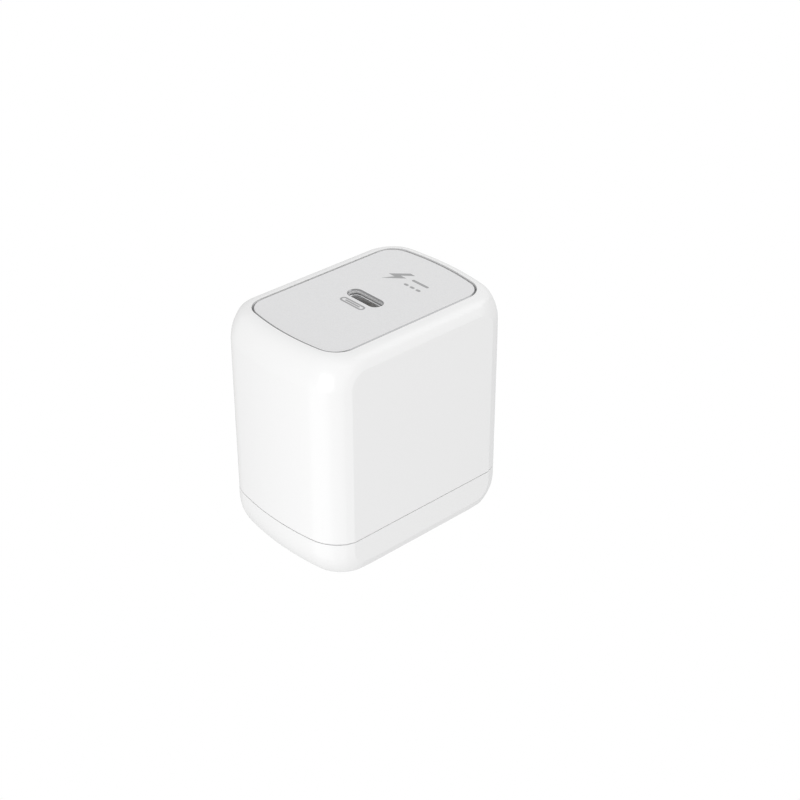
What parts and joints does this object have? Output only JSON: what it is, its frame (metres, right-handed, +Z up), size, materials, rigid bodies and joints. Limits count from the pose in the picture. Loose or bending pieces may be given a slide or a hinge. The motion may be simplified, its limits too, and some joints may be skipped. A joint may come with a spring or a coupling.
{
  "type": "laptop power adapter",
  "caption": "Compact rounded-box mains adapter with a type-C outlet in an inset grey top plate, a parted base cap and a two-blade plug that folds into the base.",
  "frame": {"origin": "middle of the base, on the face that the adapter stands on", "axes": "+Z up through the port's mouth, X the short way across along the port's long side, Y the long way; the folded blades point to -Y"},
  "size_m": [0.034, 0.0496, 0.0496],
  "materials": {
    "white_shell": "semi-gloss white polycarbonate with a very fine moulded texture",
    "grey_plate": "fine-grained silver-grey with a polished edge",
    "stainless_shell": "drawn stainless steel, nickel plated",
    "black_moulding": "glass-filled moulding, black",
    "circuit_board": "green solder mask over glass laminate",
    "carrier_plastic": "white moulded plastic",
    "plated_blade": "nickel-plated brass",
    "spring_bronze": "phosphor bronze strip",
    "lead_black": "black insulation",
    "lead_white": "white insulation",
    "ferrite": "dark grey sintered ferrite",
    "winding_tape": "yellow polyester tape over enamelled wire",
    "copper_wire": "enamelled copper wire",
    "capacitor_sleeve": "dark shrink sleeve over an aluminium can",
    "inductor_sleeve": "black shrink sleeve",
    "film_box": "yellow moulded box",
    "blue_coating": "blue epoxy coating",
    "black_coating": "black epoxy coating",
    "fuse_body": "brown sleeve",
    "chip_package": "black moulded package",
    "bare_can": "bare aluminium can",
    "spreader_metal": "plain rolled sheet",
    "film": "amber polyester film"
  },
  "bodies": {
    "adapter_body": {"base_cap": "white_shell", "bridge_rectifier": "chip_package", "bulk_capacitor_1": "capacitor_sleeve", "bulk_capacitor_2": "capacitor_sleeve", "bulk_capacitor_3": "capacitor_sleeve", "carrier_retainer": "carrier_plastic", "choke_core": "ferrite", "choke_winding_lower": "copper_wire", "choke_winding_upper": "copper_wire", "contact_spring_left": "spring_bronze", "contact_spring_right": "spring_bronze", "filter_inductor": "inductor_sleeve", "fuse": "fuse_body", "heat_spreader": "spreader_metal", "insulating_film": "film", "live_lead": "lead_black", "main_board": "circuit_board", "main_housing": "white_shell", "neutral_lead": "lead_white", "optocoupler": "chip_package", "output_capacitor_1": "bare_can", "output_capacitor_2": "bare_can", "port_board": "circuit_board", "port_controller": "chip_package", "port_shell": "stainless_shell", "port_tongue": "black_moulding", "power_switch": "chip_package", "primary_controller": "chip_package", "sync_rectifier": "chip_package", "top_plate": "grey_plate", "transformer_bobbin": "black_moulding", "transformer_core_lower": "ferrite", "transformer_core_upper": "ferrite", "transformer_winding": "winding_tape", "varistor": "black_coating", "x_capacitor": "film_box", "y_capacitor": "blue_coating"},
    "folding_plug": {"blade_carrier": "carrier_plastic", "blade_left": "plated_blade", "blade_right": "plated_blade"}
  },
  "joints": [
    {"name": "plug_fold", "type": "hinge", "parent": "adapter_body", "child": "folding_plug", "pos_m": [0, 0.01, 0.0039], "axis": [1, 0, 0], "range_deg": [0, 90]}
  ]
}
